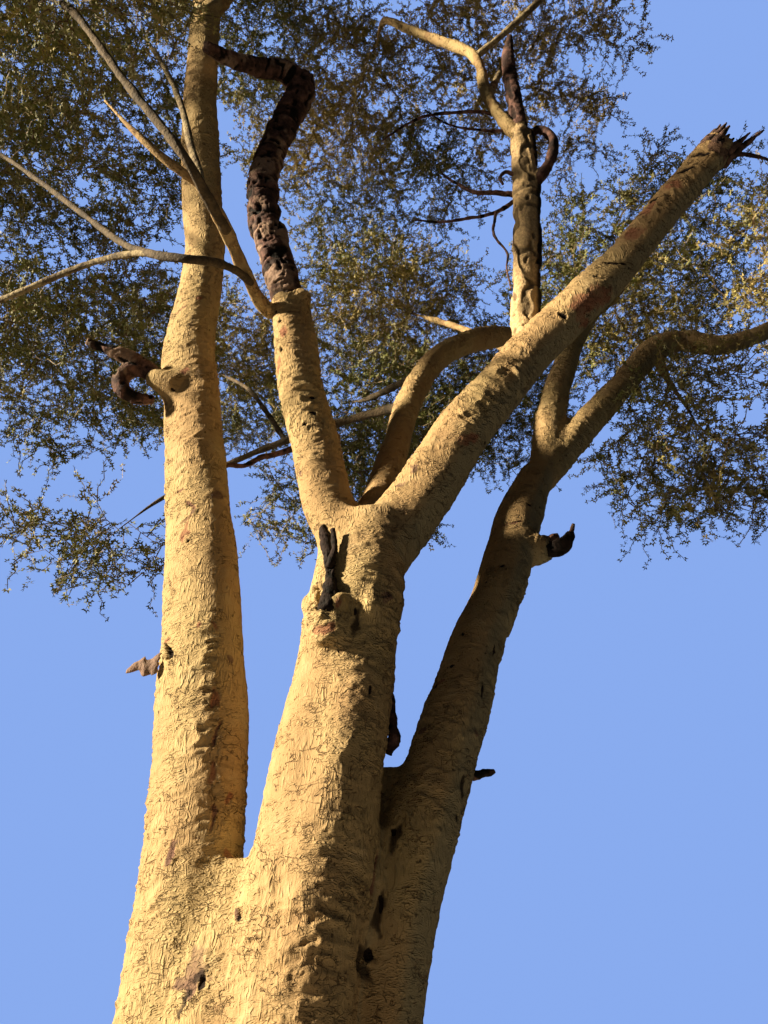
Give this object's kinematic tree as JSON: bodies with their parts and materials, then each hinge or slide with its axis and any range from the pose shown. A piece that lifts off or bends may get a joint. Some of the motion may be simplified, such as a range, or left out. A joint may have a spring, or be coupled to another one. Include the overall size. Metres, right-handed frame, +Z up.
{
  "type": "acacia tree",
  "caption": "Rooted multi-stemmed acacia tree with a flared base, smooth pale bark, broken dead boughs and a wide open feathery crown.",
  "frame": {"origin": "middle of the flat cut at ground level, under the fused base of the stems", "axes": "+Z up the tree, +X to the right and +Y away from someone who faces it as in the picture"},
  "size_m": [12.713, 9.3485, 14.1883],
  "materials": {
    "bark": "cream-yellow, finely wrinkled and flaking bark",
    "dead_wood": "dark red-brown to black weathered dead wood with pale patches",
    "foliage": "grey-green to olive feathery leaves on thin khaki twigs"
  },
  "bodies": {
    "root": {"bough_back": "bark", "bough_back_out": "bark", "bough_left": "bark", "bough_left_low": "bark", "bough_middle_left": "bark", "bough_middle_right": "bark", "bough_right_far": "bark", "bough_right_out": "bark", "bough_right_up": "bark", "bough_top_left": "bark", "bough_top_right": "bark", "dead_arm": "dead_wood", "dead_bough": "dead_wood", "dead_snag": "dead_wood", "dead_spike": "dead_wood", "foliage_back_high": "foliage", "foliage_back_left": "foliage", "foliage_back_middle": "foliage", "foliage_back_right": "foliage", "foliage_far_left": "foliage", "foliage_far_right": "foliage", "foliage_left_back": "foliage", "foliage_low_left": "foliage", "foliage_near_left": "foliage", "foliage_right_back": "foliage", "foliage_right_front": "foliage", "foliage_right_low": "foliage", "foliage_top": "foliage", "foliage_top_back": "foliage", "foliage_top_front": "foliage", "foliage_top_right": "foliage", "limb_back_high": "bark", "limb_back_left": "bark", "limb_back_up": "bark", "limb_front": "bark", "limb_front_high": "bark", "limb_front_up": "bark", "limb_low_left": "bark", "limb_right_low": "bark", "limb_top": "bark", "limb_top_front": "bark", "limb_top_right": "bark", "snag_loop": "dead_wood", "stem_left": "bark", "stem_middle": "bark", "stem_right": "bark", "stub_left": "dead_wood", "stub_left_curl": "dead_wood", "stub_middle": "dead_wood", "stub_right": "dead_wood", "trunk": "bark"}
  },
  "joints": []
}
